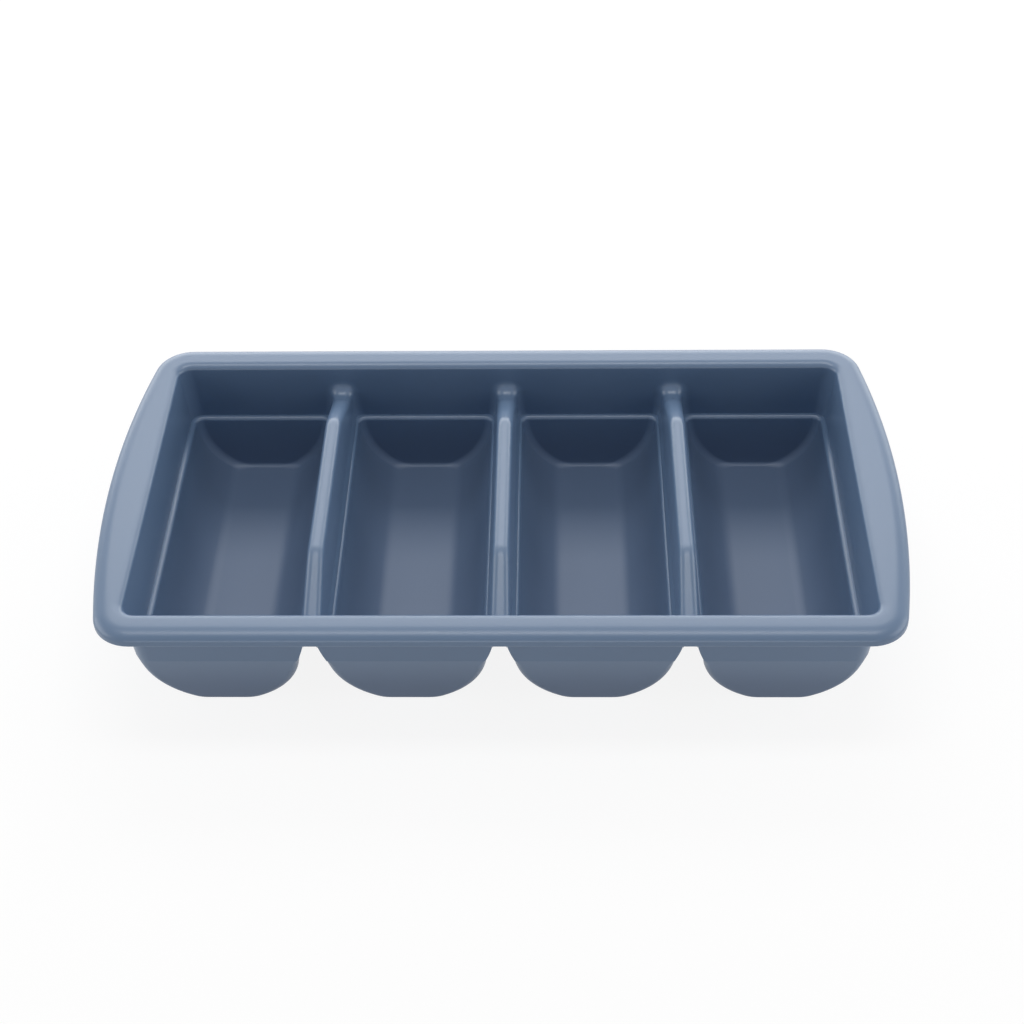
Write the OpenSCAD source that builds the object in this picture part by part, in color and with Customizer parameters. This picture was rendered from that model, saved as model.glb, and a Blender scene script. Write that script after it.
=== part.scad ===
// Cutlery box: a shallow plastic tray with four half-round troughs side by side.
// The box stands on the flat feet of its troughs, with its length along X and its front towards -Y.
// It is one moulding. Its zones meet face to face along the seams that are named below.

/* [Overall] */
// Length over the two end grips
length = 520; // [440:1:640]
// Width over the front and back rims
width = 290; // [240:1:360]
// Height from the table to the top of the rim
height = 86; // [76:1:120]
// Thickness of the walls, measured level
wall = 2.2; // [2:0.1:3.5]

/* [Rim and grips] */
// Width of the rim along the front and the back
rim_w = 21.5; // [14:0.5:28]
// Width of each end grip at its middle
grip_w = 28; // [24:0.5:36]
// How far the end grips bow out, from a corner to the middle
grip_bow = 15.5; // [8:0.5:18]
// Drop of the skirt below the top of the rim
skirt_drop = 8.5; // [7:0.5:22]
// Radius of the four outer corners, seen from above
outer_corner_r = 25; // [14:0.5:28]
// How far the rounded outer edge of the rim reaches in
rim_round_w = 8; // [2:0.25:9]
// How far the rounded outer edge of the rim reaches down
rim_round_h = 5; // [2:0.25:6]
// Rounding of the inner top edge of the rim
lip_r = 4; // [1.5:0.25:5]
// Depth of the lip that turns down from the rim into the walls
lip_drop = 8; // [6:0.5:12]

/* [Walls and ledge] */
// Radius of the upright corners inside, seen from above
inner_corner_r = 9; // [6:0.5:14]
// Lean of the front and back walls, in degrees
side_draft = 2.5; // [1:0.25:6]
// Lean of the end walls, in degrees
end_draft = 5.5; // [2:0.25:9]
// Height of the ledge round every trough
ledge_h = 43; // [36:0.5:50]
// Width of the ledge
ledge_w = 3.6; // [1:0.1:5]
// Thickness of the ledge
ledge_t = 2; // [1.5:0.1:3]
// Height of the taper under the ledge, from its edge to the outside of the trough
taper_h = 6; // [2:0.5:9]

/* [Troughs] */
// Width of the flat floor inside a trough
floor_w = 44; // [30:0.5:60]
// Lean of the end plates of a trough, in degrees
trough_draft = 6.75; // [2:0.25:12]

/* [Dividers] */
// Width of a divider across its crest
crest_w = 10.4; // [9:0.1:16]
// Lean of the sides of a divider, in degrees
divider_draft = 3; // [2:0.25:8]
// Rounding of the crest of a divider
crest_r = 4; // [3:0.25:5]
// Drop from the top of the rim to the level middle of the crest
crest_drop = 2; // [0:0.5:10]
// Length of the level middle of the crest
crest_l = 131; // [60:1:180]
// Drop of the crest from its middle to the front and back walls
ramp_drop = 24; // [8:0.5:28]
// Radius of the flare where a crest runs into the front and back walls
flare_r = 6; // [3:0.5:10]

/* [Hidden] */

plastic = [0.45, 0.53, 0.64];
// Number of troughs, which the names of the nodes follow
trough_count = 4;
divider_count = trough_count - 1;
// Sides of a whole circle on a blended corner, on the long shallow bow of a grip and on a trough
blend_fn = 32;
bow_fn = 288;
trough_fn = 96;
// Steps round a quarter turn of a rounded edge
edge_steps = 4;
// Thickness of the slices that a blended shape is drawn between
slice = 0.01;
// How far a cutting shape runs past the face that it cuts
past = 1;
// Smallest rounding of a hollow
least_r = 0.5;

// Inside of the tray at the rim, and its size at any height
opening_l = length - 2 * grip_w;
opening_w = width - 2 * rim_w;
function open_l(z) = opening_l - 2 * (height - z) * tan(end_draft);
function open_w(z) = opening_w - 2 * (height - z) * tan(side_draft);

// Seams: walls below the lip, and end pieces beyond the straight part of the rim
lip_z = height - lip_drop;
seam_x = opening_l / 2 - inner_corner_r - lip_r;

// Bays between the dividers, measured where they stand on the ledge
crest_z = height - crest_drop;
divider_lean = tan(divider_draft);
divider_w = crest_w + 2 * (crest_z - ledge_h) * divider_lean;
bay_w = (open_l(ledge_h) - divider_count * divider_w) / trough_count;
pitch = bay_w + divider_w;
function bay_x(i) = (i - (trough_count + 1) / 2) * pitch;
function divider_x(i) = (i - trough_count / 2) * pitch;

// Half-round trough: a circle through the edge of its mouth and the edge of its flat floor
mouth_w = bay_w - 2 * ledge_w;
mouth_l = open_w(ledge_h) - 2 * ledge_w;
trough_z = (pow(mouth_w / 2, 2) - pow(floor_w / 2, 2) + pow(ledge_h, 2) - pow(wall, 2))
  / (2 * (ledge_h - wall));
trough_r = sqrt(pow(floor_w / 2, 2) + pow(trough_z - wall, 2));
function end_y(z) = mouth_l / 2 - (ledge_h - z) * tan(trough_draft);
// Underside of the ledge, and the foot of the taper below it
under_z = ledge_h - ledge_t;
taper_z = under_z - taper_h;

// Crest of a divider: level in the middle, then a straight ramp down to each wall
ramp_z = crest_z - ramp_drop;
ramp_l = (open_w(crest_z) - crest_l) / 2;
ramp_fall = ramp_drop / ramp_l;
hollow_r = max(crest_r - wall, least_r);
// Top of the arch where a divider's hollow opens through the front and back walls
arch_z = ramp_z - wall;

// Outline of the rim: straight sides, corner arcs, and a bow arc that the corners run into
bow_r = (pow(width / 2, 2) + pow(grip_bow, 2)) / (2 * grip_bow);
bow_x = length / 2 - bow_r;
corner_y = width / 2 - outer_corner_r;
corner_x = bow_x + sqrt(pow(bow_r - outer_corner_r, 2) - pow(corner_y, 2));

// Half of the outline, on the +X side, drawn a given inset inside the edge of the rim
module half_outline(inset) {
  edge_x = length / 2 + past;
  edge_y = (edge_x - bow_x) * corner_y / (corner_x - bow_x);
  translate([0, inset - width / 2])
    square([corner_x, width - 2 * inset]);
  for (side = [-1, 1])
    translate([corner_x, side * corner_y])
      circle(r = outer_corner_r - inset, $fn = blend_fn);
  intersection() {
    translate([bow_x, 0])
      circle(r = bow_r - inset, $fn = bow_fn);
    polygon([[bow_x, 0], [edge_x, -edge_y], [edge_x, edge_y]]);
    translate([0, -width / 2])
      square([length, width]);
  }
}

module outline(inset) {
  half_outline(inset);
  mirror([1, 0])
    half_outline(inset);
}

module rounded_rect(l, w, r) {
  square([l - 2 * r, w], center = true);
  square([l, w - 2 * r], center = true);
  for (x = [-1, 1], y = [-1, 1])
    translate([x * (l / 2 - r), y * (w / 2 - r)])
      circle(r = r, $fn = blend_fn);
}

// The inside of the tray between two heights, grown outwards at each end
module tray_form(z0, z1, grow0, grow1) {
  ends = [[z0, z0, grow0], [z1, z1 - slice, grow1]];
  hull()
    for (e = ends)
      translate([0, 0, e[1]])
        linear_extrude(slice)
          rounded_rect(open_l(e[0]) + 2 * e[2], open_w(e[0]) + 2 * e[2], inner_corner_r + e[2]);
}

// A quarter round in steps: how far it has risen, and how far it has turned aside, at a step
function rise(r, k) = r * sin(90 * k / edge_steps);
function turn(r, k) = r * (1 - cos(90 * k / edge_steps));

// The open space of the tray from the ledge up, with the rounded lip at its top
module tray_space() {
  round_z = height - lip_r;
  tray_form(ledge_h - past, round_z, 0, 0);
  for (k = [1 : edge_steps])
    tray_form(round_z + rise(lip_r, k - 1), round_z + rise(lip_r, k), turn(lip_r, k - 1), turn(lip_r, k));
  tray_form(height, height + past, lip_r, lip_r);
}

// The rim and its skirt as one block with a rounded top edge, drawn a given inset inside its skin
module rim_block(inset, low) {
  round_w = max(rim_round_w - inset, least_r);
  round_h = max(rim_round_h - inset, least_r);
  hull() {
    translate([0, 0, low])
      linear_extrude(slice)
        outline(inset);
    for (k = [0 : edge_steps])
      translate([0, 0, height - inset - round_h + rise(round_h, k) - slice])
        linear_extrude(slice)
          outline(inset + turn(round_w, k));
  }
}

// The whole rim: a flat top, a skirt outside and a lip inside
module rim_ring() {
  difference() {
    union() {
      difference() {
        rim_block(0, height - skirt_drop);
        rim_block(wall, height - skirt_drop - past);
      }
      tray_form(lip_z, height - wall / 2, wall, wall);
    }
    tray_space();
  }
}

// A box between two corners
module block(low, high) {
  translate(low)
    cube(high - low);
}

module rim_side(side) {
  color(plastic)
    intersection() {
      rim_ring();
      block([-seam_x, side < 0 ? -width : 0, 0], [seam_x, side < 0 ? 0 : width, 2 * height]);
    }
}

module grip(side) {
  color(plastic)
    intersection() {
      rim_ring();
      block([side < 0 ? -length : seam_x, -width, 0], [side < 0 ? -seam_x : length, width, 2 * height]);
    }
}

// An outline drawn across the box, in Y and Z, and drawn out along X
module along_x(l) {
  rotate([90, 0, 90])
    linear_extrude(l, center = true)
      children();
}

// An outline drawn along the box, in X and Z, and drawn out along Y
module along_y(l) {
  rotate([90, 0, 0])
    linear_extrude(l, center = true)
      children();
}

// Half of an arch across a divider, from its crest out to its foot, for a crest at a given height.
// The arch follows the divider's outside, a given way out from it (negative: inside it).
function half_arch(top, out, r) =
  let (
    foot = divider_w / 2 + out / cos(divider_draft),
    round_z = top + out - r,
    round_x = foot - (round_z - ledge_h) * divider_lean - r / cos(divider_draft)
  )
  concat(
    [for (k = [0 : edge_steps])
      let (a = 90 - (90 - divider_draft) * k / edge_steps)
      [round_x + r * cos(a), round_z + r * sin(a)]],
    [[foot, ledge_h]]
  );

// The whole arch from the left foot to the right one
function arch(half) = concat(
  [for (k = [len(half) - 1 : -1 : 0]) [-half[k][0], half[k][1]]],
  half
);

// Outside and hollow of a divider where its crest has this height
function skin_arch(top, out) = arch(half_arch(top, out, crest_r + out));
function hollow_arch(top) = arch(half_arch(top, -wall, hollow_r));

function reversed(list) = [for (k = [len(list) - 1 : -1 : 0]) list[k]];

// Stations along half a divider: way in from the wall, height of the crest and growth of the flare.
// The flare is a quarter round that runs out of the ramp into the wall.
flare_stations = [
  for (k = [0 : edge_steps])
    let (way = flare_r - rise(flare_r, k))
    [way, ramp_z + way * ramp_fall, turn(flare_r, k)]
];
half_stations = concat([[ramp_l, crest_z, 0]], flare_stations);
stations = concat(
  [for (s = reversed(half_stations)) concat([-1], s)],
  [for (s = half_stations) concat([1], s)]
);

// Closed ring of points round the arch at one station, set in from the leaning wall
function station_ring(s) = [
  for (p = concat(skin_arch(s[2], s[3]), reversed(hollow_arch(s[2]))))
    [p[0], s[0] * (open_w(p[1]) / 2 - s[1]), p[1]]
];

module divider(i) {
  ring_n = len(station_ring(stations[0]));
  last = (len(stations) - 1) * ring_n;
  points = [for (s = stations) each station_ring(s)];
  sides = [
    for (k = [0 : len(stations) - 2], j = [0 : ring_n - 1])
      let (a = k * ring_n + j, b = k * ring_n + (j + 1) % ring_n)
      each [[a, b, a + ring_n], [b, b + ring_n, a + ring_n]]
  ];
  ends = [
    for (j = [0 : ring_n / 2 - 2])
      let (a = j, b = j + 1, c = ring_n - 2 - j, d = ring_n - 1 - j)
      each [[a, c, b], [a, d, c], [last + a, last + b, last + c], [last + a, last + c, last + d]]
  ];
  color(plastic)
    translate([divider_x(i), 0, 0])
      polyhedron(points, concat(sides, ends));
}

// Leaning plate of the front or back wall between two heights
module side_plate(side, z0, z1) {
  low = open_w(z0) / 2;
  high = open_w(z1) / 2;
  along_x(2 * seam_x)
    polygon([
      [side * low, z0], [side * (low + wall), z0],
      [side * (high + wall), z1], [side * high, z1]
    ]);
}

// Front and back walls, above the arches where the hollow dividers open through
module wall_side(side) {
  color(plastic)
    side_plate(side, arch_z, lip_z);
}

// End walls, with the two upright corners beside them
module wall_end(side) {
  color(plastic)
    intersection() {
      difference() {
        tray_form(ledge_h, lip_z, wall, wall);
        tray_form(ledge_h - past, lip_z + past, 0, 0);
      }
      block([side < 0 ? -length : seam_x, -width, 0], [side < 0 ? -seam_x : length, width, 2 * height]);
    }
}

// Cross-section of a trough's outside: half round on a flat foot, with the tapered ledge at its top
module trough_section() {
  outer = bay_w / 2 + wall;
  inner = sqrt(pow(trough_r + wall / 2, 2) - pow(trough_z - taper_z, 2));
  intersection() {
    translate([0, trough_z])
      circle(r = trough_r + wall, $fn = trough_fn);
    translate([-bay_w, 0])
      square([2 * bay_w, ledge_h]);
  }
  polygon([
    [-inner, taper_z], [inner, taper_z], [outer, under_z],
    [outer, ledge_h], [-outer, ledge_h], [-outer, under_z]
  ]);
}

// The space inside a trough: half round above a flat floor, with rounded corners at its mouth
module trough_space() {
  intersection() {
    along_y(width)
      intersection() {
        translate([0, trough_z])
          circle(r = trough_r, $fn = trough_fn);
        translate([-bay_w, wall])
          square([2 * bay_w, ledge_h]);
      }
    linear_extrude(ledge_h + past)
      rounded_rect(mouth_w + 2 * wall, mouth_l + 2 * slice, inner_corner_r - ledge_w);
  }
}

// What a trough may fill: the space between its leaning end plates, and the outline of the walls above
module between_ends() {
  over = ledge_h + past;
  along_x(2 * bay_w)
    polygon([[-end_y(-past), -past], [end_y(-past), -past], [end_y(over), over], [-end_y(over), over]]);
}

module below_walls() {
  linear_extrude(ledge_h)
    rounded_rect(open_l(ledge_h) + 2 * wall, open_w(ledge_h) + 2 * wall, inner_corner_r + wall);
}

// Floor and curved sides of a trough, between its end plates
module trough(i) {
  color(plastic)
    intersection() {
      translate([bay_x(i), 0, 0])
        difference() {
          intersection() {
            along_y(width)
              trough_section();
            between_ends();
          }
          trough_space();
        }
      below_walls();
    }
}

// Foot of the front or back wall above one trough, from inside the ledge to the top of the arches
module wall_foot(i, side) {
  root_z = ledge_h - ledge_t / 2;
  root = bay_w / 2 + wall;
  foot = bay_w / 2 + wall / cos(divider_draft);
  top = foot + (arch_z - ledge_h) * divider_lean;
  intersection() {
    side_plate(side, root_z, arch_z);
    translate([bay_x(i), 0, 0])
      along_y(2 * width)
        polygon([
          [-root, root_z], [root, root_z], [foot, ledge_h],
          [top, arch_z], [-top, arch_z], [-foot, ledge_h]
        ]);
  }
}

// End plate of a trough, with the ledge and the foot of the front or back wall above it
module trough_end(i, side) {
  ledge_y = open_w(ledge_h) / 2 + wall;
  color(plastic) {
    intersection() {
      translate([bay_x(i), 0, 0])
        intersection() {
          along_y(width)
            trough_section();
          along_x(2 * bay_w)
            polygon([
              [side * end_y(0), 0], [side * (end_y(0) + wall), 0],
              [side * (end_y(taper_z) + wall), taper_z], [side * ledge_y, under_z],
              [side * ledge_y, ledge_h], [side * end_y(ledge_h), ledge_h]
            ]);
        }
      below_walls();
    }
    wall_foot(i, side);
  }
}

rim_side(-1);  // rim_front
rim_side(1);  // rim_back
grip(-1);  // grip_left
grip(1);  // grip_right
wall_side(-1);  // wall_front
wall_side(1);  // wall_back
wall_end(-1);  // wall_left
wall_end(1);  // wall_right
for (i = [1 : divider_count])
  divider(i);
for (i = [1 : trough_count]) {
  trough(i);
  trough_end(i, -1);
  trough_end(i, 1);
}
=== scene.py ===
"""Looks of a slate-blue cutlery box: one satin plastic moulding with four half-round troughs."""

from math import acos, atan, atan2, cos, pi, radians, sin, sqrt, tan

import bmesh
import bpy
from mathutils import Matrix, Vector


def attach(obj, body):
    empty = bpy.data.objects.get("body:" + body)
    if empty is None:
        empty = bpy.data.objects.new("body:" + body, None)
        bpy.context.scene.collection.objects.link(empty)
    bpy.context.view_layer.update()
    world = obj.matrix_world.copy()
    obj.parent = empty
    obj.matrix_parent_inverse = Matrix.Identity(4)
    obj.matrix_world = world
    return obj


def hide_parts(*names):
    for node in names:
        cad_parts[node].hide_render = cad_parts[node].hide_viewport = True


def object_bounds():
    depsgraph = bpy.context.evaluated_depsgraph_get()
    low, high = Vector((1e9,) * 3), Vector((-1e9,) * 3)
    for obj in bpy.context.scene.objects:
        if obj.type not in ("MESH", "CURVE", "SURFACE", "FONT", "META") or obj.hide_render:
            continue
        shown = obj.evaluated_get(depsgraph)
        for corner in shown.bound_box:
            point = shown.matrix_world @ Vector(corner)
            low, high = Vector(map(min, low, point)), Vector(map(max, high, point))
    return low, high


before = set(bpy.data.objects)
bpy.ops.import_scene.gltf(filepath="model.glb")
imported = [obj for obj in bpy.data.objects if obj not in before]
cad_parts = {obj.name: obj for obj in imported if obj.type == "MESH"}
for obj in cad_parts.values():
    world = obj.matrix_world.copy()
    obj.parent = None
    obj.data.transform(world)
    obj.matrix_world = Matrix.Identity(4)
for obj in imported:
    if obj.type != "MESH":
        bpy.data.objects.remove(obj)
cad_low, cad_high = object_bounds()

# Sizes in metres: the whole box comes from the bounds of model.glb, the rest are the sizes of its solids
MM = 0.001
LENGTH, WIDTH, HEIGHT = cad_high - cad_low
WALL = 2.2 * MM
RIM_W = 21.5 * MM
GRIP_W = 28 * MM
GRIP_BOW = 15.5 * MM
SKIRT_DROP = 8.5 * MM
OUTER_CORNER_R = 25 * MM
RIM_ROUND_H = 5 * MM
LIP_R = 4 * MM
LIP_DROP = 8 * MM
INNER_CORNER_R = 9 * MM
SIDE_LEAN = tan(radians(2.5))
END_LEAN = tan(radians(5.5))
LEDGE_Z = 43 * MM
LEDGE_W = 3.6 * MM
FLOOR_W = 44 * MM
TROUGH_DRAFT = radians(6.75)
TROUGH_COUNT = 4
CREST_W = 10.4 * MM
DIVIDER_DRAFT = radians(3)
CREST_DROP = 2 * MM
CREST_L = 131 * MM
RAMP_DROP = 24 * MM
FLARE_R = 6 * MM

# Roundings that the solids have smaller or leave out
RIM_ROUND_W = 10 * MM
LIP_W = 6.5 * MM
FREE_EDGE_R = 0.8 * MM
MOUTH_R = 2.8 * MM
FLOOR_R = 3 * MM
FLOOR_BLEND_R = 15 * MM
FOOT_R = 1.5 * MM
FOOT_BLEND_R = 10 * MM
END_EDGE_R = 5.2 * MM
FLANGE_R = 1.1 * MM
FLANGE_BLEND = 14 * MM
CREST_R = 5 * MM
KNOB_R = 13 * MM
KINK_R = 25 * MM
FOOT_H = 16 * MM
SKIN_SPREAD = 1.2 * MM
SKIN_SPREAD_H = 7 * MM
HOLLOW_SPREAD = 4.1 * MM

# Powers of the curves by which a flange, a divider's foot and its hollow widen
FLANGE_POWER = 3
SKIN_POWER = 2
HOLLOW_POWER = 1.5

# Longest round at a trough's corner as a share of the half width, and the end of the round at its floor
CORNER_SHARE = 0.6
FLOOR_ROUND_END = radians(78)

# Steps round a curve: a corner, a small edge, a trough's side, a grip's bow and a divider's flare
CORNER_STEPS = 10
EDGE_STEPS = 6
SIDE_STEPS = 16
BOW_STEPS = 24
FLARE_STEPS = 14

# Angle between two faces from which their edge is shaded sharp
SHARP_ANGLE = radians(35)

# Derived sizes, worked out as in the solids
OPENING_L = LENGTH - 2 * GRIP_W
OPENING_W = WIDTH - 2 * RIM_W
LIP_Z = HEIGHT - LIP_DROP
CREST_Z = HEIGHT - CREST_DROP
RAMP_Z = CREST_Z - RAMP_DROP
DIVIDER_LEAN = tan(DIVIDER_DRAFT)
DIVIDER_W = CREST_W + 2 * (CREST_Z - LEDGE_Z) * DIVIDER_LEAN


def open_l(z):
    """Length of the inside of the tray at a height."""
    return OPENING_L - 2 * (HEIGHT - z) * END_LEAN


def open_w(z):
    """Width of the inside of the tray at a height."""
    return OPENING_W - 2 * (HEIGHT - z) * SIDE_LEAN


# Seam between the long sides and the ends, and the row of troughs and dividers
SEAM_X = open_l(LEDGE_Z) / 2 - INNER_CORNER_R - LIP_R
BAY_W = (open_l(LEDGE_Z) - (TROUGH_COUNT - 1) * DIVIDER_W) / TROUGH_COUNT
PITCH = BAY_W + DIVIDER_W
MOUTH_W = BAY_W - 2 * LEDGE_W
MOUTH_L = open_w(LEDGE_Z) - 2 * LEDGE_W

# The half-round of a trough runs through the edges of its mouth and of its floor
TROUGH_Z = (MOUTH_W ** 2 / 4 - FLOOR_W ** 2 / 4 + LEDGE_Z ** 2 - WALL ** 2) / (2 * (LEDGE_Z - WALL))
TROUGH_R = sqrt(FLOOR_W ** 2 / 4 + (TROUGH_Z - WALL) ** 2)

# Ramp at each end of a divider
RAMP_L = (open_w(CREST_Z) - CREST_L) / 2
RAMP_FALL = RAMP_DROP / RAMP_L

# The bow of a grip runs into the round of each outer corner
BOW_R = (WIDTH ** 2 / 4 + GRIP_BOW ** 2) / (2 * GRIP_BOW)
BOW_X = LENGTH / 2 - BOW_R
CORNER_Y = WIDTH / 2 - OUTER_CORNER_R
CORNER_X = BOW_X + sqrt((BOW_R - OUTER_CORNER_R) ** 2 - CORNER_Y ** 2)
BOW_ANGLE = atan2(CORNER_Y, CORNER_X - BOW_X)


def between(low, high, steps):
    """Values from low to high in equal steps, both ends included."""
    return [low + (high - low) * k / steps for k in range(steps + 1)]


def put(name, data):
    """A new object in the scene."""
    thing = bpy.data.objects.new(name, data)
    bpy.context.scene.collection.objects.link(thing)
    return thing


def mesh_piece(name, rings, material, *nodes):
    """A closed piece lofted through rings of points, with a flat cap on its first and last ring."""
    n = len(rings[0])
    last = (len(rings) - 1) * n
    faces = [tuple(range(n)), tuple(range(last, last + n))]
    for k in range(len(rings) - 1):
        for j in range(n):
            a = k * n + j
            b = k * n + (j + 1) % n
            faces.append((a, b, b + n, a + n))
    mesh = bpy.data.meshes.new(name)
    mesh.from_pydata([p for ring in rings for p in ring], [], faces)
    work = bmesh.new()
    work.from_mesh(mesh)
    bmesh.ops.recalc_face_normals(work, faces=work.faces)
    work.to_mesh(mesh)
    work.free()
    mesh.shade_smooth()
    mesh.set_sharp_from_angle(angle=SHARP_ANGLE)
    mesh.materials.append(material)
    piece = put(name, mesh)
    weighted = piece.modifiers.new("flat faces stay flat", "WEIGHTED_NORMAL")
    weighted.mode = "FACE_AREA"
    weighted.keep_sharp = True
    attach(piece, "root")
    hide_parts(*nodes)


# Troughs: outlines seen from above, from the floor inside over the ledge and down to the foot
def half_width(z, floor, r, blend):
    """Half width of a half-round on a flat floor, with a smaller round where they meet."""
    centre = floor + blend
    start = sqrt((r - blend) ** 2 - (TROUGH_Z - centre) ** 2)
    meet = TROUGH_Z - (TROUGH_Z - centre) * r / (r - blend)
    if z < meet:
        return start + sqrt(max(blend ** 2 - (centre - z) ** 2, 0))
    return sqrt(r ** 2 - (TROUGH_Z - z) ** 2)


def half_length(z, floor, out, r):
    """Half length between the leaning end plates, with a round where they meet the floor."""
    centre = floor + r
    lean = tan(TROUGH_DRAFT)
    plate = MOUTH_L / 2 + out - LEDGE_Z * lean
    if z < centre - r * sin(TROUGH_DRAFT):
        return plate + centre * lean - r / cos(TROUGH_DRAFT) + sqrt(max(r ** 2 - (centre - z) ** 2, 0))
    return plate + z * lean


def outer_length(z):
    """Half length outside the end plates, which grow out to the walls from the foot up to the ledge."""
    return half_length(z, 0, WALL, FOOT_R) + LEDGE_W * z / LEDGE_Z


def plan_ring(x, left, right, half_y, z):
    """Closed outline of a trough at a height. left and right are a half width and two corner radii."""
    ring = []
    for quarter, (sx, sy) in enumerate(((1, 1), (-1, 1), (-1, -1), (1, -1))):
        half_x, rx, ry = right if sx > 0 else left
        for a in between(quarter * pi / 2, (quarter + 1) * pi / 2, CORNER_STEPS):
            ring.append((x + sx * (half_x - rx) + rx * cos(a), sy * (half_y - ry) + ry * sin(a), z))
    return ring


def trough_side(half_x, r, round_r):
    """Half width and corner radii at a height: the flatter the side there, the longer the round along X."""
    return half_x, min(r * round_r / half_x, CORNER_SHARE * half_x), r


def levels(floor, r, edge_r, top):
    """Heights of the outlines from a floor up to a top: close together in the round at the floor."""
    low = [floor + edge_r * (1 - cos(a)) for a in between(0, FLOOR_ROUND_END, EDGE_STEPS)]
    angles = between(acos((TROUGH_Z - low[-1]) / r), acos((TROUGH_Z - top) / r), SIDE_STEPS)
    return low + [TROUGH_Z - r * cos(a) for a in angles[1:]]


def trough(i, material):
    """A trough with its end plates and the ledge round its mouth."""
    x = (i - (TROUGH_COUNT + 1) / 2) * PITCH
    rings = []

    mouth_corner_r = INNER_CORNER_R - LEDGE_W
    mouth_z = LEDGE_Z - MOUTH_R
    for z in levels(WALL, TROUGH_R, FLOOR_R, mouth_z):
        half_x = half_width(z, WALL, TROUGH_R, FLOOR_BLEND_R)
        half_y = half_length(z, WALL, 0, FLOOR_R)
        side = trough_side(half_x, mouth_corner_r, TROUGH_R)
        rings.append(plan_ring(x, side, side, half_y, z))
    # The shoulder starts from the last outline of the inside
    for a in between(0, pi / 2, EDGE_STEPS)[1:]:
        out = MOUTH_R * (1 - cos(a))
        side = (half_x + out, mouth_corner_r + out, mouth_corner_r + out)
        rings.append(plan_ring(x, side, side, half_y + out, mouth_z + MOUTH_R * sin(a)))

    wall_r = INNER_CORNER_R + WALL
    at_wall = (BAY_W / 2 + WALL, wall_r, wall_r)
    at_divider = (PITCH / 2 - hollow_arch(RAMP_Z)[-1][0], FLANGE_R, FLANGE_R)
    flanges = (at_wall if i == 1 else at_divider, at_wall if i == TROUGH_COUNT else at_divider)
    outer_r = TROUGH_R + WALL
    top = LEDGE_Z - FLANGE_BLEND
    for z in between(LEDGE_Z, top, SIDE_STEPS)[:-1]:
        rise = ((z - top) / FLANGE_BLEND) ** FLANGE_POWER
        plain = (half_width(z, 0, outer_r, FOOT_BLEND_R), END_EDGE_R, END_EDGE_R)
        sides = [[a + rise * (b - a) for a, b in zip(plain, flange)] for flange in flanges]
        rings.append(plan_ring(x, *sides, outer_length(z), z))
    for z in reversed(levels(0, outer_r, FOOT_R, top)):
        half_x = half_width(z, 0, outer_r, FOOT_BLEND_R)
        side = trough_side(half_x, END_EDGE_R, outer_r)
        rings.append(plan_ring(x, side, side, outer_length(z), z))

    nodes = [name % i for name in ("trough_%d", "front_end_%d", "back_end_%d")]
    mesh_piece("moulded_trough_%d" % i, rings, material, *nodes)


# Dividers: arches across X, from the front wall to the back one
def arch(top, out, r, spread):
    """An arch with its crest at a height, a given way outside the divider's skin, and spread feet."""
    foot = DIVIDER_W / 2 + out / cos(DIVIDER_DRAFT)
    round_z = top - r
    round_x = foot - (round_z - LEDGE_Z) * DIVIDER_LEAN - r / cos(DIVIDER_DRAFT)
    turn = between(pi / 2, DIVIDER_DRAFT, CORNER_STEPS)
    half = [(round_x + r * cos(a), round_z + r * sin(a)) for a in turn]
    half += [(foot - up * DIVIDER_LEAN + spread(up), LEDGE_Z + up) for up in between(FOOT_H, 0, SIDE_STEPS)]
    return [(-x, z) for x, z in reversed(half)] + half


def skin_spread(up):
    """The rounded foot of a divider on the ledge."""
    return SKIN_SPREAD * max(1 - up / SKIN_SPREAD_H, 0) ** SKIN_POWER


def hollow_spread(up):
    """The hollow of a divider opens towards the troughs below it."""
    return HOLLOW_SPREAD * (1 - up / FOOT_H) ** HOLLOW_POWER


def hollow_arch(top):
    """The inside of a divider whose crest is at a height."""
    return arch(top - WALL, -WALL, CREST_R - WALL, hollow_spread)


def divider_middle(i):
    """Place of a divider along X."""
    return (i - TROUGH_COUNT / 2) * PITCH


def fillet(way, r):
    """Growth of a round between a wall and a surface that stands on it, a way out from the wall."""
    return r - sqrt(max(r * r - (r - way) ** 2, 0)) if way < r else 0


def divider_stations():
    """Way in from the wall, height of the crest, and growth of the flare upwards and sideways."""
    stations = []
    for a in between(pi / 2, 0, FLARE_STEPS):
        way = KNOB_R * (1 - sin(a))
        stations.append((way, RAMP_Z + way * RAMP_FALL, fillet(way, KNOB_R), fillet(way, FLARE_R)))
    slope = atan(RAMP_FALL)
    kink = RAMP_L + KINK_R * tan(slope / 2)
    for a in between(slope, 0, EDGE_STEPS):
        stations.append((kink - KINK_R * sin(a), CREST_Z - KINK_R * (1 - cos(a)), 0, 0))
    return stations


def divider(i, material):
    """A hollow divider with ramped ends, open below."""
    middle = divider_middle(i)
    half = divider_stations()
    rings = []
    for side, stations in ((-1, half), (1, reversed(half))):
        for way, top, up, out in stations:
            loop = arch(top + up, out, CREST_R + out, skin_spread) + hollow_arch(top)[::-1]
            rings.append([(middle + x, side * (open_w(z) / 2 - way), z) for x, z in loop])
    mesh_piece("moulded_divider_%d" % i, rings, material, "divider_%d" % i)


# Walls: plates with arches along the front and back, and end walls with corners
def side_wall(name, side, material):
    """The front or back wall, with an arch where each divider's hollow opens."""
    outline = [(-SEAM_X, LEDGE_Z)]
    for i in range(1, TROUGH_COUNT):
        outline += [(divider_middle(i) + x, z) for x, z in hollow_arch(RAMP_Z)]
    outline += [(SEAM_X, LEDGE_Z), (SEAM_X, LIP_Z), (-SEAM_X, LIP_Z)]
    rings = [[(x, side * (open_w(z) / 2 + out), z) for x, z in outline] for out in (0, WALL)]
    mesh_piece("moulded_" + name, rings, material, name)


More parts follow.
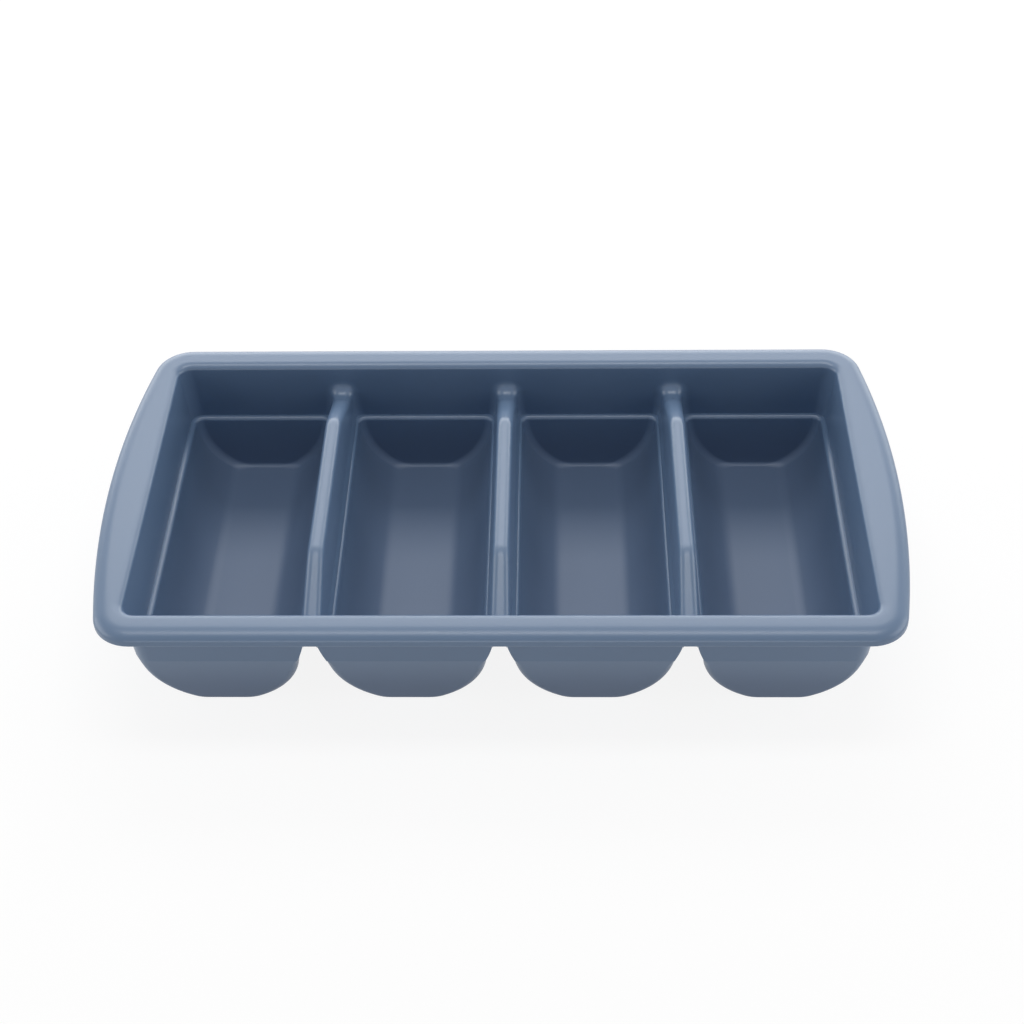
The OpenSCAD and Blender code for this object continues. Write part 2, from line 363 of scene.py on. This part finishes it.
def end_path(side, z, corner_arc, end, half_y):
    """A path from the front seam round one corner, along the end and round the other to the back seam."""
    half = corner_arc + [(SEAM_X, half_y)]
    path = [(x, -y) for x, y in reversed(half)] + end + half
    return [(side * x, y, z) for x, y in path]


def opening_path(side, z, grow):
    """The end of the tray's inside at a height, grown by a way."""
    half_x = open_l(z) / 2 + grow
    half_y = open_w(z) / 2 + grow
    r = INNER_CORNER_R + grow
    reach = half_y - r
    turn = between(0, pi / 2, CORNER_STEPS)
    corner_arc = [(half_x - r + r * cos(a), reach + r * sin(a)) for a in turn]
    end = [(half_x, y) for y in between(-reach, reach, BOW_STEPS)[1:-1]]
    return end_path(side, z, corner_arc, end, half_y)


def outline_path(side, z, inset):
    """The bowed end of the rim's outline, with as many points as opening_path has."""
    r = OUTER_CORNER_R - inset
    turn = between(BOW_ANGLE, pi / 2, CORNER_STEPS)
    corner_arc = [(CORNER_X + r * cos(a), CORNER_Y + r * sin(a)) for a in turn]
    bow_r = BOW_R - inset
    bow = between(-BOW_ANGLE, BOW_ANGLE, BOW_STEPS)[1:-1]
    end = [(BOW_X + bow_r * cos(a), bow_r * sin(a)) for a in bow]
    return end_path(side, z, corner_arc, end, WIDTH / 2 - inset)


def end_wall(name, side, material):
    """The wall at one end, with its two corners."""
    paths = [
        opening_path(side, LEDGE_Z, 0),
        opening_path(side, LIP_Z, 0),
        opening_path(side, LIP_Z, WALL),
        opening_path(side, LEDGE_Z, WALL),
    ]
    mesh_piece("moulded_" + name, list(zip(*paths)), material, name)


# Rim: a profile from the foot of the skirt over the top and down the lip, then back underneath
def rim_profile():
    """Steps round the rim: outline_path with an inset, or opening_path with a growth, and a height."""
    skirt_z = HEIGHT - SKIRT_DROP
    quarter = between(0, pi / 2, EDGE_STEPS)
    profile = []
    for a in quarter:
        profile.append((outline_path, FREE_EDGE_R * (1 - sin(a)), skirt_z + FREE_EDGE_R * (1 - cos(a))))
    for a in quarter:
        profile.append((outline_path, RIM_ROUND_W * (1 - cos(a)), HEIGHT - RIM_ROUND_H * (1 - sin(a))))
    for a in quarter:
        profile.append((opening_path, LIP_W * (1 - sin(a)), HEIGHT - LIP_R * (1 - cos(a))))
    profile.append((opening_path, 0, LIP_Z))
    profile.append((opening_path, WALL, LIP_Z))
    profile.append((opening_path, WALL, HEIGHT - WALL))
    for a in reversed(quarter):
        inset = WALL + (RIM_ROUND_W - WALL) * (1 - cos(a))
        profile.append((outline_path, inset, HEIGHT - WALL - (RIM_ROUND_H - WALL) * (1 - sin(a))))
    for a in quarter:
        inset = WALL - FREE_EDGE_R * (1 - cos(a))
        profile.append((outline_path, inset, skirt_z + FREE_EDGE_R * (1 - sin(a))))
    return profile


def grip(name, side, material):
    """The bowed rim at one end, with its two corners."""
    paths = [path(side, z, amount) for path, amount, z in rim_profile()]
    mesh_piece("moulded_" + name, list(zip(*paths)), material, name)


def long_rim(name, side, material):
    """The straight rim along the front or back."""
    section = []
    for path, amount, z in rim_profile():
        half = open_w(z) / 2 + amount if path is opening_path else WIDTH / 2 - amount
        section.append((side * half, z))
    rings = [[(x, y, z) for y, z in section] for x in (-SEAM_X, SEAM_X)]
    mesh_piece("moulded_" + name, rings, material, name)


# Shader nodes: a Mix node's sockets for colours are the amount, the first and second colour, and the result
MIX_INPUTS = (0, 6, 7)
MIX_RESULT = 2


def feed(tree, socket, value):
    """Sets an input, or links it to another node's output."""
    if isinstance(value, bpy.types.NodeSocket):
        tree.links.new(value, socket)
    else:
        socket.default_value = value


def add(tree, kind, **inputs):
    """A node with inputs set or linked by name."""
    node = tree.nodes.new(kind)
    for name, value in inputs.items():
        feed(tree, node.inputs[name], value)
    return node


def calculate(tree, operation, *values):
    """The result of a Math node."""
    node = tree.nodes.new("ShaderNodeMath")
    node.operation = operation
    for socket, value in zip(node.inputs, values):
        feed(tree, socket, value)
    return node.outputs["Value"]


def mix(tree, blend, amount, first, second):
    """The result of mixing two colours."""
    node = tree.nodes.new("ShaderNodeMix")
    node.data_type = "RGBA"
    node.blend_type = blend
    for socket, value in zip(MIX_INPUTS, (amount, first, second)):
        feed(tree, node.inputs[socket], value)
    return node.outputs[MIX_RESULT]


def map_range(tree, value, given, wanted, course="LINEAR"):
    """A value carried from a given range over to a wanted one."""
    node = add(tree, "ShaderNodeMapRange", Value=value)
    node.interpolation_type = course
    for end, number in zip(("From Min", "From Max", "To Min", "To Max"), given + wanted):
        node.inputs[end].default_value = number
    return node.outputs["Result"]


# Plastic: colours, a tint of painted shade for the troughs, gloss of the new rim and of the worn floors, and
# the heights where wear and the painted shade end
PLASTIC = (0.119, 0.192, 0.312, 1)
PLASTIC_PALE = (0.131, 0.207, 0.333, 1)
# Painted shade: the plastic's colour is multiplied by this darker, greyer tint low in the troughs
PAINTED_SHADE_TINT = (0.97, 0.89, 0.87, 1)
NEW_ROUGHNESS = 0.29
WORN_ROUGHNESS = 0.43
NEW_SPECULAR = 0.5
WORN_SPECULAR = 0.37
ROUGHNESS_DRIFT = 0.05
IOR = 1.58
WORN_AND_SHADED_BELOW = 12 * MM
NEW_AND_UNSHADED_ABOVE = 50 * MM
MOTTLE_SCALE = 14
MOTTLE_DETAIL = 3
GRAIN_SCALE = 1500
GRAIN_DETAIL = 2
GRAIN_STRENGTH = 0.15
GRAIN_DEPTH = 0.1 * MM


def satin_plastic():
    """Moulded plastic with a fine grain and a slow drift of shade and gloss, rougher and duller from cutlery
    low down, where its colour is also darkened and greyed by painted shade.
    """
    material = bpy.data.materials.new("satin_plastic")
    material.use_nodes = True
    tree = material.node_tree
    shader = tree.nodes["Principled BSDF"]
    place = tree.nodes.new("ShaderNodeTexCoord").outputs["Object"]
    height = add(tree, "ShaderNodeSeparateXYZ", Vector=place).outputs["Z"]
    # Mask that is 1 low in the troughs and 0 up at the rim: it sets the wear of the gloss and the painted
    # shade of the colour
    wear_and_shade = map_range(tree, height, (WORN_AND_SHADED_BELOW, NEW_AND_UNSHADED_ABOVE), (1, 0), "SMOOTHSTEP")

    mottle = add(tree, "ShaderNodeTexNoise", Vector=place, Scale=MOTTLE_SCALE, Detail=MOTTLE_DETAIL)
    drift = mottle.outputs["Fac"]
    shade = mix(tree, "MIX", drift, PLASTIC, PLASTIC_PALE)
    # Painted shade: the colour is darkened and greyed low in the troughs, standing in for the shade that
    # falls there
    feed(tree, shader.inputs["Base Color"], mix(tree, "MULTIPLY", wear_and_shade, shade, PAINTED_SHADE_TINT))

    roughness = map_range(tree, wear_and_shade, (0, 1), (NEW_ROUGHNESS, WORN_ROUGHNESS))
    drifting = calculate(tree, "MULTIPLY_ADD", drift, ROUGHNESS_DRIFT, roughness)
    feed(tree, shader.inputs["Roughness"], drifting)
    specular = map_range(tree, wear_and_shade, (0, 1), (NEW_SPECULAR, WORN_SPECULAR))
    feed(tree, shader.inputs["Specular IOR Level"], specular)
    shader.inputs["IOR"].default_value = IOR

    grain = add(tree, "ShaderNodeTexNoise", Vector=place, Scale=GRAIN_SCALE, Detail=GRAIN_DETAIL)
    bump = add(tree, "ShaderNodeBump", Height=grain.outputs["Fac"], Strength=GRAIN_STRENGTH)
    bump.inputs["Distance"].default_value = GRAIN_DEPTH
    feed(tree, shader.inputs["Normal"], bump.outputs["Normal"])
    return material


# Studio: the ground's tone for scattered light and for the camera, its glow, and where it turns white
GROUND_SIZE = 8.0
GROUND_Z = -0.2 * MM
GROUND_TONE = 0.72
GROUND_TONE_SEEN = 0.14
GROUND_GLOW = 0.88
SHADOW_R = 0.6
WHITE_R = 1.6

# World: strength for scattered light, and for the camera and reflections
AMBIENT = 0.19
BACKDROP = 1.0

# Soft boxes: bearing and elevation in degrees, then distance, width, height and radiance
LAMPS = {
    "back_low_box": (0, 15, 2.3, 4.4, 1.1, 2.1),
    "back_high_box": (-2, 45, 2.3, 2.1, 0.75, 2.85),
    "left_box": (-90, 18, 2.2, 2.0, 1.3, 1.8),
    "right_box": (90, 20, 2.2, 2.0, 1.3, 1.75),
    "overhead_box": (0, 86, 2.3, 1.8, 0.5, 5.1),
    "front_card": (180, 5, 1.8, 1.6, 0.3, 3.25),
}

# Camera, as fitted to the photo
FOCAL_PX = 1863.76
IMAGE_PX = 1024
SENSOR_MM = 36
CAMERA_AT = (34.56 * MM, -926.93 * MM, 885.34 * MM)
CAMERA_DOWN = radians(41.77)
CAMERA_YAW = radians(1.79)
CAMERA_ROLL = radians(-1.3)


def seen_directly(tree):
    """1 for what the camera sees, straight or in a reflection, and 0 for light that is scattered on."""
    rays = tree.nodes.new("ShaderNodeLightPath").outputs
    mirrored = calculate(tree, "MAXIMUM", rays["Is Glossy Ray"], rays["Is Transmission Ray"])
    return calculate(tree, "MAXIMUM", rays["Is Camera Ray"], mirrored)


def studio_paper():
    """A ground that keeps the shadow, and looks white to the camera and in reflections further out."""
    material = bpy.data.materials.new("studio_floor")
    material.use_nodes = True
    tree = material.node_tree
    tree.nodes.clear()
    seen = seen_directly(tree)
    tone = map_range(tree, seen, (0, 1), (GROUND_TONE, GROUND_TONE_SEEN))
    way = tree.nodes.new("ShaderNodeVectorMath")
    way.operation = "LENGTH"
    feed(tree, way.inputs[0], tree.nodes.new("ShaderNodeTexCoord").outputs["Object"])
    white = map_range(tree, way.outputs["Value"], (SHADOW_R, WHITE_R), (GROUND_GLOW, BACKDROP))
    paper = add(tree, "ShaderNodeBsdfDiffuse", Color=tone)
    glow = add(tree, "ShaderNodeEmission", Strength=calculate(tree, "MULTIPLY", seen, white))
    both = tree.nodes.new("ShaderNodeAddShader")
    feed(tree, both.inputs[0], paper.outputs["BSDF"])
    feed(tree, both.inputs[1], glow.outputs["Emission"])
    add(tree, "ShaderNodeOutputMaterial", Surface=both.outputs["Shader"])
    return material


def ground():
    """The studio's floor, a hair below the box."""
    mesh = bpy.data.meshes.new("studio_floor")
    half = GROUND_SIZE / 2
    corners = [(x * half, y * half, GROUND_Z) for x, y in ((-1, -1), (1, -1), (1, 1), (-1, 1))]
    mesh.from_pydata(corners, [], [(0, 1, 2, 3)])
    mesh.materials.append(studio_paper())
    floor = put("studio_floor", mesh)


def lamp(name, bearing, elevation, distance, width, height, radiance):
    """A soft box that faces the middle of the cutlery box. Bearings run clockwise from the back."""
    flat = distance * cos(radians(elevation))
    rise = distance * sin(radians(elevation))
    at = Vector((flat * sin(radians(bearing)), flat * cos(radians(bearing)), rise))
    aim = Vector((0, 0, HEIGHT / 2))
    light = bpy.data.lights.new(name, "AREA")
    light.shape = "RECTANGLE"
    light.size = width
    light.size_y = height
    light.energy = radiance * pi * width * height
    holder = put(name, light)
    holder.location = at
    holder.rotation_euler = (aim - at).to_track_quat("-Z", "Y").to_euler()
    holder.visible_camera = False


def backdrop():
    """A dim world that looks white to the camera and in reflections."""
    world = bpy.data.worlds.new("studio")
    world.use_nodes = True
    tree = world.node_tree
    background = tree.nodes["Background"]
    background.inputs["Color"].default_value = (1, 1, 1, 1)
    level = map_range(tree, seen_directly(tree), (0, 1), (AMBIENT, BACKDROP))
    feed(tree, background.inputs["Strength"], level)
    bpy.context.scene.world = world


def camera():
    """The photo's camera."""
    data = bpy.data.cameras.new("camera")
    data.sensor_width = SENSOR_MM
    data.lens = FOCAL_PX * SENSOR_MM / IMAGE_PX
    holder = put("camera", data)
    holder.location = CAMERA_AT
    turn = Matrix.Rotation(CAMERA_YAW, 3, "Z") @ Matrix.Rotation(pi / 2 - CAMERA_DOWN, 3, "X")
    holder.rotation_euler = (turn @ Matrix.Rotation(CAMERA_ROLL, 3, "Z")).to_euler()
    bpy.context.scene.camera = holder


plastic = satin_plastic()
for number in range(1, TROUGH_COUNT + 1):
    trough(number, plastic)
for number in range(1, TROUGH_COUNT):
    divider(number, plastic)
for name, side in (("wall_front", -1), ("wall_back", 1)):
    side_wall(name, side, plastic)
for name, side in (("wall_left", -1), ("wall_right", 1)):
    end_wall(name, side, plastic)
for name, side in (("rim_front", -1), ("rim_back", 1)):
    long_rim(name, side, plastic)
for name, side in (("grip_left", -1), ("grip_right", 1)):
    grip(name, side, plastic)

ground()
for name, values in LAMPS.items():
    lamp(name, *values)
backdrop()
camera()
bpy.context.scene.view_settings.view_transform = "Standard"
